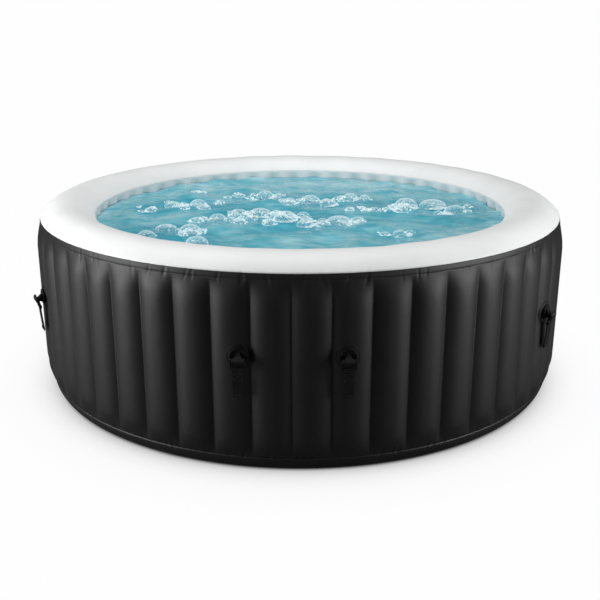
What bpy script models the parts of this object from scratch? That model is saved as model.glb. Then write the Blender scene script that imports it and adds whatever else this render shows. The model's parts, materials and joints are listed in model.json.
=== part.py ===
"""Inflatable hot tub: a channelled double air wall with a rounded rim, standing on a flat base.

Metres, +Z up. The origin is the middle of the base's underside, on the ground. Azimuths are
measured from the front (-Y) towards +X. A fitting on the wall is modelled in the frame of its
empty: X along the wall, Y into the tub, Z up.
"""

from math import atan, atan2, cos, hypot, pi, radians, sin, tau

import bmesh
import bpy
from mathutils import Matrix, Vector

# Tub body
RIM_SEAM_RADIUS = 1.000
RIM_SEAM_HEIGHT = 0.6555
RIM_RISE = 0.0506  # of the crest above the chord between the two seams
INNER_SEAM_RADIUS = 0.798
INNER_SEAM_HEIGHT = 0.6445
SKIN = 0.002
GAP = 0.0003
SEAM_GAP = 0.0018  # between skins that meet edge to edge, whose cut edges lean
INNER_SEAM_GAP = 0.0025

# Outer wall: upright air channels between two ring-shaped welds
CHANNELS = 51
CHANNEL_ANGLE = tau / CHANNELS
SEAM_AZIMUTH = radians(-1.52)
WALL_VALLEY_RADIUS = 1.002
CHANNEL_BULGE = 0.017
UPPER_WELD_HEIGHT = 0.6360
LOWER_WELD_HEIGHT = 0.050
BULGE_RUN_OUT = 0.066
WALL_SEGMENTS = 3 * CHANNELS

# Inner wall, with the same channels bulging towards the water
INNER_FOOT_RADIUS = 0.816
INNER_VALLEY_RADIUS = 0.818
INNER_BULGE = 0.015
INNER_SEGMENTS = 2 * CHANNELS

# Base
BASE_CONTACT_RADIUS = 0.961
BASE_EDGE_RADIUS = 0.999
FLOOR_TOP = 2 * SKIN + GAP
FLOOR_FLAT_RADIUS = 0.735
FLOOR_BORDER_FALL = 0.0003
ROUND_SEGMENTS = 48

# Tension web between the walls; it stops short of the channels that hold the ports
WEB_THICKNESS = 0.0012
WEB_LOW, WEB_HIGH = 0.110, 0.600
WEB_INNER_RADIUS, WEB_OUTER_RADIUS = 0.8215, 0.9940
WEB_FIRST_SEAM, WEB_LAST_SEAM = 27, CHANNELS + 24

# Air channel round the foot of the inner wall
BUBBLE_CHANNEL_RADIUS = 0.768
BUBBLE_CHANNEL_SIZE = 0.024

# Ports and valves: azimuth and height
CREST_RADIUS = WALL_VALLEY_RADIUS + CHANNEL_BULGE
WALL_TO_WALL = CREST_RADIUS - (INNER_VALLEY_RADIUS - INNER_BULGE)
PORT_SEGMENTS = 16


def channel_middle(seam):
    """Azimuth of the middle of the channel that follows that seam."""
    return SEAM_AZIMUTH + (seam + 0.5) * CHANNEL_ANGLE


WATER_PORTS = {"water_outlet": channel_middle(24), "water_inlet": channel_middle(26)}
WATER_PORT_HEIGHT = 0.200
WATER_BORE, WATER_TUBE, WATER_FLANGE = 0.018, 0.0215, 0.038
WATER_STUB = 0.034
AIR_PORT_AZIMUTH, AIR_PORT_HEIGHT = channel_middle(25), 0.330
AIR_BORE, AIR_TUBE, AIR_FLANGE = 0.010, 0.014, 0.028
AIR_STUB, AIR_BARB = 0.028, 0.042
FEED_TUBE_RADIUS = 0.010
FEED_TUBE_HEIGHT = 0.018
VALVE_AZIMUTH, VALVE_HEIGHT = channel_middle(23), 0.450
VALVE_CUP = 0.0195
DRAIN_AZIMUTH, DRAIN_HEIGHT = channel_middle(28), 0.075
DRAIN_BORE, DRAIN_TUBE, DRAIN_FLANGE = 0.0095, 0.0130, 0.024
DRAIN_STUB = 0.020
HOLE_CLEARANCE = 0.0005
INNER_FLANGE_THICKNESS = 0.004
INNER_FACE = -WALL_TO_WALL - GAP - INNER_FLANGE_THICKNESS - GAP  # where strainers and the plug sit
FLANGE_LIFT = 0.0006  # between the outer wall's crest and a flange or nut on it
CAP_CHAMFER = 0.002

# Strap anchors round the outer wall: azimuth and height
ANCHOR_SPOTS = {
    "front_left": (radians(-10.55), 0.396),
    "front_right": (radians(8.2), 0.396),
    "side_left": (radians(-67.5), 0.391),
    "side_right": (radians(57.6), 0.383),
    "rear_left": (channel_middle(-18), 0.391),
    "rear_right": (channel_middle(16), 0.391),
}
PATCH_RADIUS, PATCH_THICKNESS, PATCH_LIFT = 0.0385, 0.0012, 0.0006
PLATE_RADIUS, PLATE_THICKNESS = 0.0270, 0.0040
EYE_CENTRE = Vector((0.022, -0.009))
EYE_RADIUS, EYE_BORE, PIN_RADIUS = 0.0055, 0.0028, 0.0025
LUG_PEAK_UP, LUG_PEAK_HALF_WIDTH = 0.0150, 0.0020
LUG_FOOT_HALF_WIDTH, LUG_EYE_HALF_WIDTH = 0.0150, 0.0120
BUCKLE_TILT = radians(14)
BUCKLE_LOWER_REACH = 0.0255
COVER_DEPTH, COVER_HALF_HEIGHT, COVER_WALL = 0.0090, 0.0135, 0.0020
COVER_HALF_WIDTH = 0.0205
CHEEK_MIDDLE, CHEEK_WIDTH, CHEEK_INSET = 0.0210, 0.0040, 0.0007
LEG_HALF_DEPTH = 0.0029
STRAP_HALF_WIDTH = 0.0182
STRAP_THICKNESS = 0.0040
STRAP_LENGTH = 0.096
STRAP_LEAN = 0.0080
STRAP_LOOP_OUTER, STRAP_LOOP_INNER = 0.0053, 0.0031


# ---------------------------------------------------------------- scene and materials

def clear_scene():
    for obj in list(bpy.data.objects):
        bpy.data.objects.remove(obj, do_unlink=True)


def new_collection(name):
    collection = bpy.data.collections.new(name)
    bpy.context.scene.collection.children.link(collection)
    return collection


def new_material(name, colour, roughness, metallic=0.0):
    material = bpy.data.materials.new(name)
    material.use_nodes = True
    shader = material.node_tree.nodes["Principled BSDF"]
    shader.inputs["Base Color"].default_value = (*colour, 1.0)
    shader.inputs["Roughness"].default_value = roughness
    shader.inputs["Metallic"].default_value = metallic
    return material


clear_scene()
PARTS = new_collection("inflatable_hot_tub")
CUTTERS = new_collection("cutters")
BLACK_PVC = new_material("black_pvc", (0.012, 0.012, 0.013), 0.45)
WHITE_PVC = new_material("white_pvc", (0.86, 0.87, 0.87), 0.35)
LINER_PVC = new_material("liner_pvc", (0.70, 0.80, 0.83), 0.35)
WEB_PVC = new_material("web_pvc", (0.60, 0.62, 0.63), 0.50)
BLACK_PLASTIC = new_material("black_plastic", (0.020, 0.020, 0.021), 0.40)
WHITE_PLASTIC = new_material("white_plastic", (0.80, 0.81, 0.81), 0.35)
WEBBING = new_material("black_webbing", (0.018, 0.018, 0.019), 0.80)


# ---------------------------------------------------------------- making objects

def add_part(name, mesh, material, parent=None, location=(0, 0, 0), rotation=(0, 0, 0)):
    obj = bpy.data.objects.new(name, mesh)
    PARTS.objects.link(obj)
    if not mesh.materials:
        mesh.materials.append(material)
    obj.parent = parent
    obj.location = location
    obj.rotation_euler = rotation
    return obj


def add_cutter(name, mesh, parent=None, location=(0, 0, 0), rotation=(0, 0, 0)):
    obj = bpy.data.objects.new(name, mesh)
    CUTTERS.objects.link(obj)
    obj.parent = parent
    obj.location = location
    obj.rotation_euler = rotation
    obj.hide_render = True
    obj.display_type = "WIRE"
    return obj


def wall_frame(name, azimuth, height, radius=CREST_RADIUS, facing=None):
    """An empty on the wall, turned so that its -Y points out of the tub."""
    empty = bpy.data.objects.new(name, None)
    PARTS.objects.link(empty)
    empty.location = (radius * sin(azimuth), -radius * cos(azimuth), height)
    empty.rotation_euler = (0, 0, azimuth if facing is None else facing)
    return empty


def smooth(mesh, sharp=radians(35)):
    mesh.shade_smooth()
    mesh.set_sharp_from_angle(angle=sharp)
    return mesh


def mesh_of(obj):
    """The object's evaluated mesh as a mesh of its own, with loose caps welded on."""
    bpy.context.view_layer.update()
    graph = bpy.context.evaluated_depsgraph_get()
    mesh = bpy.data.meshes.new_from_object(obj.evaluated_get(graph))
    bm = bmesh.new()
    bm.from_mesh(mesh)
    bmesh.ops.remove_doubles(bm, verts=bm.verts, dist=1e-6)
    bm.to_mesh(mesh)
    bm.free()
    return mesh


def extruded(outlines, half_width):
    """Closed outlines of (out, up) points made into a plate that spans X, facing out along -Y."""
    curve = bpy.data.curves.new("outline", "CURVE")
    curve.dimensions = "2D"
    curve.fill_mode = "BOTH"
    curve.extrude = half_width
    for points in outlines:
        spline = curve.splines.new("POLY")
        spline.points.add(len(points) - 1)
        for point, (out, up) in zip(spline.points, points):
            point.co = (out, up, 0, 1)
        spline.use_cyclic_u = True
    obj = bpy.data.objects.new("outline", curve)
    PARTS.objects.link(obj)
    mesh = mesh_of(obj)
    bpy.data.objects.remove(obj, do_unlink=True)
    mesh.transform(Matrix(((0, 0, -1, 0), (-1, 0, 0, 0), (0, 1, 0, 0), (0, 0, 0, 1))))
    return mesh


def cylinder(radius, depth, segments, matrix=Matrix()):
    """A closed cylinder along Z, then placed by matrix."""
    bm = bmesh.new()
    bmesh.ops.create_cone(
        bm, cap_ends=True, segments=segments, radius1=radius, radius2=radius,
        depth=depth, matrix=matrix,
    )
    mesh = bpy.data.meshes.new("cylinder")
    bm.to_mesh(mesh)
    bm.free()
    return mesh


def box(size, matrix=Matrix()):
    bm = bmesh.new()
    bmesh.ops.create_cube(bm, size=1.0, matrix=matrix @ Matrix.Diagonal((*size, 1.0)))
    mesh = bpy.data.meshes.new("box")
    bm.to_mesh(mesh)
    bm.free()
    return mesh


def combined(base, others, operation="UNION"):
    """One closed mesh: base joined with, or cut by, each of the other meshes."""
    obj = bpy.data.objects.new("base", base)
    PARTS.objects.link(obj)
    tools = []
    for other in others:
        tool = bpy.data.objects.new("tool", other)
        PARTS.objects.link(tool)
        tools.append(tool)
        modifier = obj.modifiers.new("combine", "BOOLEAN")
        modifier.operation = operation
        modifier.solver = "EXACT"
        modifier.object = tool
    mesh = mesh_of(obj)
    for unused in [obj, *tools]:
        bpy.data.objects.remove(unused, do_unlink=True)
    return mesh


def along_x(out=0.0, up=0.0):
    """Places a shape that was made along Z so that it lies along X at (out, up)."""
    return Matrix.Translation((0, -out, up)) @ Matrix.Rotation(pi / 2, 4, "Y")


def turned(profile, segments, closed=True):
    """A mesh object's profile of (radius, z) points with a Screw modifier round Z."""
    mesh = bpy.data.meshes.new("profile")
    count = len(profile)
    edges = [(i, i + 1) for i in range(count - 1)]
    if closed:
        edges.append((count - 1, 0))
    mesh.from_pydata([(r, 0, z) for r, z in profile], edges, [])
    return mesh, segments


def add_turned(name, shape, material, thickness=None, **place):
    mesh, segments = shape
    obj = add_part(name, mesh, material, **place)
    screw = obj.modifiers.new("turn", "SCREW")
    screw.steps = segments
    screw.render_steps = segments
    screw.use_merge_vertices = True
    screw.merge_threshold = 0.00001
    if thickness:
        solidify = obj.modifiers.new("skin", "SOLIDIFY")
        solidify.thickness = thickness
        solidify.offset = -1
    return obj


def cut(obj, cutter):
    modifier = obj.modifiers.new("holes", "BOOLEAN")
    modifier.operation = "DIFFERENCE"
    modifier.solver = "EXACT"
    modifier.object = cutter


def arc(centre, radius, start, end, count):
    """Points on a circle of (out, up) from one angle to another, ends included."""
    angles = [start + (end - start) * i / (count - 1) for i in range(count)]
    return [(centre[0] + radius * cos(a), centre[1] + radius * sin(a)) for a in angles]


# ---------------------------------------------------------------- walls

def bulge(azimuth):
    """How full the channel is at that azimuth: 0 on a seam, 1 on the crest."""
    across = ((azimuth - SEAM_AZIMUTH) / CHANNEL_ANGLE) % 1.0
    return 1 - (2 * across - 1) ** 2


def fullness(height):
    """How far the bulge has grown above the lower weld or below the upper one, 0 to 1."""
    room = min(height - LOWER_WELD_HEIGHT, UPPER_WELD_HEIGHT - height)
    return min(max(room / BULGE_RUN_OUT, 0.0), 1.0)


def outer_radius(azimuth, height):
    if height >= UPPER_WELD_HEIGHT:
        return RIM_SEAM_RADIUS
    if height <= LOWER_WELD_HEIGHT:
        return BASE_EDGE_RADIUS
    return WALL_VALLEY_RADIUS + CHANNEL_BULGE * bulge(azimuth) * fullness(height)


def inner_radius(azimuth, height):
    full = fullness(height)
    edge = INNER_SEAM_RADIUS if height > UPPER_WELD_HEIGHT else INNER_FOOT_RADIUS
    valley = edge + (INNER_VALLEY_RADIUS - edge) * full
    return valley - INNER_BULGE * bulge(azimuth) * full


def channelled_ring(segments, heights, radius_at):
    """An open ring of quads with one row of vertices at each height."""
    bm = bmesh.new()
    bmesh.ops.create_cone(
        bm, cap_ends=False, segments=segments, radius1=1.0, radius2=1.0, depth=1.0
    )
    uprights = [e for e in bm.edges if abs(e.verts[0].co.z - e.verts[1].co.z) > 0.5]
    bmesh.ops.subdivide_edges(bm, edges=uprights, cuts=len(heights) - 2, use_grid_fill=True)
    step = tau / segments
    for vertex in bm.verts:
        height = heights[round((vertex.co.z + 0.5) * (len(heights) - 1))]
        azimuth = SEAM_AZIMUTH + step * round(atan2(vertex.co.x, -vertex.co.y) / step)
        radius = radius_at(azimuth, height)
        vertex.co = (radius * sin(azimuth), -radius * cos(azimuth), height)
    mesh = bpy.data.meshes.new("ring")
    bm.to_mesh(mesh)
    bm.free()
    return mesh


def hole_cutter(name, holes, near, far):
    """One closed cylinder for each hole through a wall, from radius near to radius far of the tub."""
    middle = (near + far) / 2
    bm = bmesh.new()
    for azimuth, height, radius in holes:
        place = Matrix.Rotation(azimuth, 4, "Z") @ Matrix.Translation((0, -middle, height))
        bmesh.ops.create_cone(
            bm, cap_ends=True, segments=PORT_SEGMENTS, depth=far - near,
            radius1=radius + HOLE_CLEARANCE, radius2=radius + HOLE_CLEARANCE,
            matrix=place @ Matrix.Rotation(pi / 2, 4, "X"),
        )
    mesh = bpy.data.meshes.new(name)
    bm.to_mesh(mesh)
    bm.free()
    return add_cutter(name, mesh)


def build_walls():
    full_low = LOWER_WELD_HEIGHT + BULGE_RUN_OUT
    full_high = UPPER_WELD_HEIGHT - BULGE_RUN_OUT
    outer_rows = [LOWER_WELD_HEIGHT, full_low, full_high, UPPER_WELD_HEIGHT,
                  RIM_SEAM_HEIGHT - SEAM_GAP]
    inner_rows = [FLOOR_TOP + GAP, full_low, full_high, INNER_SEAM_HEIGHT - INNER_SEAM_GAP]
    outer = add_part(
        "outer_wall", channelled_ring(WALL_SEGMENTS, outer_rows, outer_radius), BLACK_PVC
    )
    inner = add_part(
        "inner_wall", channelled_ring(INNER_SEGMENTS, inner_rows, inner_radius), LINER_PVC
    )
    for obj, offset in ((outer, -1), (inner, 1)):
        skin = obj.modifiers.new("skin", "SOLIDIFY")
        skin.thickness = SKIN
        skin.offset = offset
    outer_holes = [(DRAIN_AZIMUTH, DRAIN_HEIGHT, DRAIN_TUBE),
                   (VALVE_AZIMUTH, VALVE_HEIGHT, VALVE_CUP),
                   (AIR_PORT_AZIMUTH, AIR_PORT_HEIGHT, AIR_TUBE)]
    inner_holes = [(DRAIN_AZIMUTH, DRAIN_HEIGHT, DRAIN_TUBE),
                   (AIR_PORT_AZIMUTH, FEED_TUBE_HEIGHT, FEED_TUBE_RADIUS)]
    for azimuth in WATER_PORTS.values():
        outer_holes.append((azimuth, WATER_PORT_HEIGHT, WATER_TUBE))
        inner_holes.append((azimuth, WATER_PORT_HEIGHT, WATER_TUBE))
    cut(outer, hole_cutter("outer_wall_holes", outer_holes, 0.96, 1.06))
    cut(inner, hole_cutter("inner_wall_holes", inner_holes, 0.76, 0.86))


def build_rim():
    """The white rim: a circular arch from the outer seam, over the crest, to the inner seam."""
    across = RIM_SEAM_RADIUS - INNER_SEAM_RADIUS
    climb = RIM_SEAM_HEIGHT - INNER_SEAM_HEIGHT
    half = hypot(across, climb) / 2
    tilt = atan2(climb, across)
    radius = (half ** 2 + RIM_RISE ** 2) / (2 * RIM_RISE)
    depth = radius - RIM_RISE
    centre = (INNER_SEAM_RADIUS + across / 2 + depth * sin(tilt),
              INNER_SEAM_HEIGHT + climb / 2 - depth * cos(tilt))
    crest = pi / 2 + tilt
    spread = atan2(half, depth)
    profile = arc(centre, radius, crest + spread, crest - spread, 7)
    add_turned("rim_ring", turned(profile, ROUND_SEGMENTS, closed=False), WHITE_PVC,
               thickness=SKIN)


def build_base():
    """The flat base sheet, the skirt that turns up from it to the outer wall, and the liner."""
    top = LOWER_WELD_HEIGHT - SEAM_GAP
    rise = BASE_EDGE_RADIUS - BASE_CONTACT_RADIUS
    steps = 3
    angles = [pi / 2 * i / steps for i in range(steps + 1)]
    outside = [(BASE_EDGE_RADIUS - rise * (1 - cos(a)), top * (1 - sin(a))) for a in angles]
    inside = [(r - SKIN * cos(a), z + SKIN * sin(a)) for (r, z), a in zip(outside, angles)]
    add_turned("base_skirt", turned(outside + inside[::-1], ROUND_SEGMENTS), BLACK_PVC)
    edge = BASE_CONTACT_RADIUS - 2 * GAP
    sheet = [(edge, SKIN), (edge, 0), (0, 0), (0, SKIN)]
    add_turned("base_sheet", turned(sheet, ROUND_SEGMENTS), BLACK_PVC)

    low, high, edge = SKIN + GAP, FLOOR_TOP, INNER_VALLEY_RADIUS - INNER_BULGE - SKIN
    liner = [(edge, high - FLOOR_BORDER_FALL), (edge, low), (0, low), (0, high),
             (FLOOR_FLAT_RADIUS, high)]
    add_turned("floor_liner", turned(liner, ROUND_SEGMENTS), LINER_PVC)


def build_bubble_channel():
    """A half-round strip on the floor liner that leads air round the foot of the wall."""
    foot = FLOOR_TOP + GAP
    outer = arc((BUBBLE_CHANNEL_RADIUS, foot), BUBBLE_CHANNEL_SIZE, pi, 0, 5)
    inner = arc((BUBBLE_CHANNEL_RADIUS, foot), BUBBLE_CHANNEL_SIZE - SKIN, 0, pi, 5)
    profile = [*outer, *inner]
    add_turned("bubble_channel", turned(profile, ROUND_SEGMENTS), WHITE_PVC)


def build_web():
    """One pleated strip: a leg across the air space at each seam, joined by turns along the walls."""
    path = []
    for count, seam in enumerate(range(WEB_FIRST_SEAM, WEB_LAST_SEAM + 1)):
        azimuth = SEAM_AZIMUTH + seam * CHANNEL_ANGLE
        ends = [WEB_INNER_RADIUS, WEB_OUTER_RADIUS]
        if count % 2:
            ends.reverse()
        path += [(r * sin(azimuth), -r * cos(azimuth), WEB_LOW) for r in ends]
    mesh = bpy.data.meshes.new("web")
    bm = bmesh.new()
    line = [bm.verts.new(point) for point in path]
    edges = [bm.edges.new(pair) for pair in zip(line, line[1:])]
    raised = bmesh.ops.extrude_edge_only(bm, edges=edges)["geom"]
    for vertex in raised:
        if isinstance(vertex, bmesh.types.BMVert):
            vertex.co.z = WEB_HIGH
    bm.to_mesh(mesh)
    bm.free()
    web = add_part("tension_web", mesh, WEB_PVC)
    skin = web.modifiers.new("skin", "SOLIDIFY")
    skin.thickness = WEB_THICKNESS
    skin.offset = 0


# ---------------------------------------------------------------- ports and valves

OUTWARD = (pi / 2, 0, 0)


def tube_profile(bore, tube, flange, back, flange_back, flange_front, front):
    """A flanged tube along its axis, as (radius, distance out of the wall) points."""
    return [(tube, front), (tube, flange_front), (flange, flange_front), (flange, flange_back),
            (tube, flange_back), (tube, back), (bore, back), (bore, front)]


def through_profile(bore, tube, flange, front):
    """A tube through both walls, with a flange that lies against the inner wall."""
    seat = -WALL_TO_WALL - GAP
    end = seat - INNER_FLANGE_THICKNESS
    return [(tube, front), (tube, seat), (flange, seat), (flange, end), (bore, end), (bore, front)]


def cap_profile(inside, outside, back, front, end):
    """A cup that opens towards the wall."""
    return [(0, front), (outside - CAP_CHAMFER, front), (outside, front - CAP_CHAMFER),
            (outside, back), (inside, back), (inside, front - end), (0, front - end)]


def build_water_port(name, azimuth):
    frame = wall_frame(f"{name}_frame", azimuth, WATER_PORT_HEIGHT)
    place = {"parent": frame, "rotation": OUTWARD}
    fitting = through_profile(WATER_BORE, WATER_TUBE, WATER_FLANGE, WATER_STUB)
    add_turned(f"{name}_fitting", turned(fitting, PORT_SEGMENTS), WHITE_PLASTIC, **place)

    inner, outer, back, front = WATER_TUBE + GAP, 0.034, FLANGE_LIFT, FLANGE_LIFT + 0.010
    nut = [(outer - 0.003, front), (outer, back), (inner, back), (inner, front)]
    add_turned(f"{name}_nut", turned(nut, PORT_SEGMENTS), BLACK_PLASTIC, **place)

    cap = cap_profile(WATER_TUBE + 0.0005, WATER_TUBE + 0.0050, 0.0118, WATER_STUB + 0.0045, 0.004)
    add_turned(f"{name}_cap", turned(cap, PORT_SEGMENTS), BLACK_PLASTIC, **place)

    face = INNER_FACE
    strainer = [(0.030, face), (0.028, face - 0.026), (0.020, face - 0.034), (0, face - 0.036),
                (0, face - 0.034), (0.0192, face - 0.032), (0.0262, face - 0.025), (0.028, face)]
    add_turned(f"{name}_strainer", turned(strainer, PORT_SEGMENTS), WHITE_PLASTIC, **place)


def build_air_port():
    frame = wall_frame("air_port_frame", AIR_PORT_AZIMUTH, AIR_PORT_HEIGHT)
    place = {"parent": frame, "rotation": OUTWARD}
    fitting = tube_profile(AIR_BORE, AIR_TUBE, AIR_FLANGE, -AIR_BARB, FLANGE_LIFT, 0.0040,
                           AIR_STUB)
    add_turned("air_port_fitting", turned(fitting, PORT_SEGMENTS), WHITE_PLASTIC, **place)
    cap = cap_profile(AIR_TUBE + 0.0005, AIR_TUBE + 0.0045, 0.0050, AIR_STUB + 0.0040, 0.0035)
    add_turned("air_port_cap", turned(cap, PORT_SEGMENTS), BLACK_PLASTIC, **place)

    start = CREST_RADIUS - AIR_BARB - GAP
    drop, bend = 0.900, 0.035
    out = INNER_VALLEY_RADIUS - INNER_BULGE - 0.008
    route = [(start, AIR_PORT_HEIGHT)]
    route += arc((drop + bend, AIR_PORT_HEIGHT - bend), bend, pi / 2, pi, 5)
    route += arc((drop - bend, FEED_TUBE_HEIGHT + bend), bend, 0, -pi / 2, 5)
    route.append((out, FEED_TUBE_HEIGHT))
    curve = bpy.data.curves.new("air_feed_tube", "CURVE")
    curve.dimensions = "3D"
    curve.bevel_depth = FEED_TUBE_RADIUS
    curve.bevel_resolution = 2
    curve.use_fill_caps = True
    spline = curve.splines.new("POLY")
    spline.points.add(len(route) - 1)
    for point, (radius, height) in zip(spline.points, route):
        point.co = (0, CREST_RADIUS - radius, height - AIR_PORT_HEIGHT, 1)
    tube = bpy.data.objects.new("air_feed_tube", curve)
    PARTS.objects.link(tube)
    curve.materials.append(WHITE_PVC)
    tube.parent = frame


def build_inflation_valve():
    frame = wall_frame("valve_frame", VALVE_AZIMUTH, VALVE_HEIGHT)
    place = {"parent": frame, "rotation": OUTWARD}
    rim, cup, flange = VALVE_CUP, 0.0168, 0.031
    guide, back = 0.0052, -0.030
    body = [(cup, 0.0065), (rim, 0.0065), (rim, 0.0034), (flange, 0.0034), (flange, FLANGE_LIFT),
            (rim, FLANGE_LIFT), (rim, back), (guide, back), (guide, back + 0.003), (cup, back + 0.003)]
    hinge_up, hinge_out = -0.0275, 0.0085
    turned_body = add_turned("body", turned(body, PORT_SEGMENTS), BLACK_PLASTIC)
    block = box((0.012, 0.0025, 0.004), Matrix.Translation((0, -0.0045, hinge_up - 0.0008)))
    shape = mesh_of(turned_body)
    shape.transform(Matrix.Rotation(pi / 2, 4, "X"))
    bpy.data.objects.remove(turned_body, do_unlink=True)
    add_part("air_valve_body", combined(shape, [block]), BLACK_PLASTIC, parent=frame)

    rod, button, seal = 0.0046, 0.0090, 0.0110
    stem = [(0, -0.001), (button, -0.001), (button, -0.004), (rod, -0.004),
            (rod, back - GAP), (seal, back - GAP), (seal, back - 0.003), (0, back - 0.003)]
    add_turned("air_valve_stem", turned(stem, PORT_SEGMENTS), WHITE_PLASTIC, **place)

    cover, plug = 0.023, cup - 0.0005
    cap = [(0, 0.0100), (cover - 0.001, 0.0100), (cover, 0.0090), (cover, 0.0070),
           (plug, 0.0070), (plug, 0.0030), (plug - 0.0015, 0.0030), (plug - 0.0015, 0.0070),
           (0, 0.0070)]
    turned_cap = add_turned("cap", turned(cap, PORT_SEGMENTS), BLACK_PLASTIC)
    lid = mesh_of(turned_cap)
    lid.transform(Matrix.Rotation(pi / 2, 4, "X"))
    bpy.data.objects.remove(turned_cap, do_unlink=True)
    tab = box((0.009, 0.0024, 0.009), Matrix.Translation((0, -hinge_out, hinge_up + 0.0045)))
    lid = combined(lid, [tab])
    lid.transform(Matrix.Translation((0, hinge_out, -hinge_up)))
    add_part("air_valve_cap", lid, BLACK_PLASTIC, parent=frame, location=(0, -hinge_out, hinge_up))


def build_drain():
    frame = wall_frame("drain_frame", DRAIN_AZIMUTH, DRAIN_HEIGHT)
    place = {"parent": frame, "rotation": OUTWARD}
    fitting = through_profile(DRAIN_BORE, DRAIN_TUBE, DRAIN_FLANGE, DRAIN_STUB)
    add_turned("drain_fitting", turned(fitting, PORT_SEGMENTS), WHITE_PLASTIC, **place)
    cap = cap_profile(DRAIN_TUBE + 0.0005, DRAIN_TUBE + 0.0045, 0.0020, DRAIN_STUB + 0.0040, 0.0035)
    add_turned("drain_cap", turned(cap, PORT_SEGMENTS), BLACK_PLASTIC, **place)
    face = INNER_FACE
    stem = DRAIN_BORE - GAP
    plug = [(0, face + 0.014), (stem - 0.001, face + 0.014), (stem, face + 0.013), (stem, face),
            (0.015, face), (0.015, face - 0.003), (0.004, face - 0.006), (0, face - 0.006)]
    add_turned("drain_plug", turned(plug, PORT_SEGMENTS), BLACK_PLASTIC, **place)


# ---------------------------------------------------------------- strap anchors

def slope_at(azimuth):
    """Angle by which the wall's face turns from the radius on the side of a channel."""
    step = CHANNEL_ANGLE / 200
    rise = CHANNEL_BULGE * (bulge(azimuth + step) - bulge(azimuth - step))
    return -atan(rise / (2 * step * CREST_RADIUS))


def patch_point(azimuth, across, height, lift):
    """A point on the outer wall, moved out by lift."""
    turn = azimuth + across / CREST_RADIUS
    radius = outer_radius(turn, height) + lift
    return Vector((radius * sin(turn), -radius * cos(turn), height))


def build_patch(name, azimuth, height):
    """A thin round patch that follows the channel it is welded to."""
    bm = bmesh.new()
    bmesh.ops.create_circle(bm, cap_ends=True, cap_tris=True, segments=18, radius=PATCH_RADIUS)
    spokes = [e for e in bm.edges if not e.is_boundary]
    bmesh.ops.subdivide_edges(bm, edges=spokes, cuts=1)
    bmesh.ops.recalc_face_normals(bm, faces=bm.faces)
    for vertex in bm.verts:
        vertex.co = patch_point(azimuth, vertex.co.x, height + vertex.co.y, PATCH_LIFT)
    outward = Vector((sin(azimuth), -cos(azimuth), 0))
    for face in bm.faces:
        face.normal_update()
        if face.normal.dot(outward) < 0:
            face.normal_flip()
    mesh = bpy.data.meshes.new(name)
    bm.to_mesh(mesh)
    bm.free()
    patch = add_part(name, mesh, BLACK_PVC)
    skin = patch.modifiers.new("skin", "SOLIDIFY")
    skin.thickness = PATCH_THICKNESS
    skin.offset = 1


def seat_radius(azimuth, facing, height):
    """How far out a flat plate with that facing has to sit to clear its patch."""
    outward = Vector((sin(facing), -cos(facing), 0))
    along = Vector((cos(facing), sin(facing), 0))
    centre = Vector((sin(azimuth), -cos(azimuth), 0))
    most = 0.0
    for step in range(-10, 11):
        across = PLATE_RADIUS * 1.1 * step / 10
        point = patch_point(azimuth, across, height, PATCH_LIFT + PATCH_THICKNESS)
        point.z = 0
        offset = point - centre * point.dot(centre)
        plane = (point - along * along.dot(offset)).dot(outward)
        most = max(most, plane / outward.dot(centre))
    return most + GAP


def plate_mesh():
    """Round plate with a pyramid of a lug on it, which ends in the eye for the buckle's pin."""
    matrix = Matrix.Translation((0, -PLATE_THICKNESS / 2, 0)) @ Matrix.Rotation(pi / 2, 4, "X")
    disc = cylinder(PLATE_RADIUS, PLATE_THICKNESS, 20, matrix)
    eye = arc(EYE_CENTRE, EYE_RADIUS, radians(105), radians(-105), 8)
    root = PLATE_THICKNESS / 2
    lug = extruded([[(root, LUG_PEAK_UP), (0.0090, 0.0050), *eye, (root, -0.0170)]], 1.0)
    for vertex in lug.vertices:
        rise = min(max(vertex.co.z / LUG_PEAK_UP, 0.0), 1.0)
        reach = min(max(-vertex.co.y / EYE_CENTRE[0], 0.0), 1.0)
        width = LUG_FOOT_HALF_WIDTH + (LUG_EYE_HALF_WIDTH - LUG_FOOT_HALF_WIDTH) * reach
        vertex.co.x *= width + (LUG_PEAK_HALF_WIDTH - width) * rise
    bore = cylinder(EYE_BORE, 0.05, 10, along_x(*EYE_CENTRE))
    return smooth(combined(combined(disc, [lug]), [bore], "DIFFERENCE"))


def buckle_mesh():
    """Buckle: a curved grip cover over the pin, two cheeks with legs, and the strap's bar."""
    def ellipse(inset, start, end, count):
        depth, height = COVER_DEPTH - inset, COVER_HALF_HEIGHT - inset
        return [(depth * out, height * up) for out, up in arc((0, 0), 1, start, end, count)]

    outside = ellipse(0, radians(80), radians(-80), 9)
    inside = ellipse(COVER_WALL, radians(-80), radians(80), 9)
    cover = extruded([outside + inside], COVER_HALF_WIDTH)
    cheek = ellipse(CHEEK_INSET, radians(95), radians(-50), 8)
    cheek.append((LEG_HALF_DEPTH, -0.0130))
    cheek += arc((0, -BUCKLE_LOWER_REACH), LEG_HALF_DEPTH, 0, -pi, 6)
    cheek.append((-LEG_HALF_DEPTH, 0.0060))
    pieces = []
    for sign in (-1, 1):
        side = extruded([cheek], CHEEK_WIDTH / 2)
        side.transform(Matrix.Translation((sign * CHEEK_MIDDLE, 0, 0)))
        pieces.append(side)
    length = 2 * CHEEK_MIDDLE
    pieces.append(cylinder(PIN_RADIUS, length, 8, along_x()))
    pieces.append(cylinder(PIN_RADIUS, length, 8, along_x(0, -BUCKLE_LOWER_REACH)))
    mesh = combined(cover, pieces)
    mesh.transform(Matrix.Rotation(BUCKLE_TILT, 4, "X"))
    return smooth(mesh)


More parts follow.
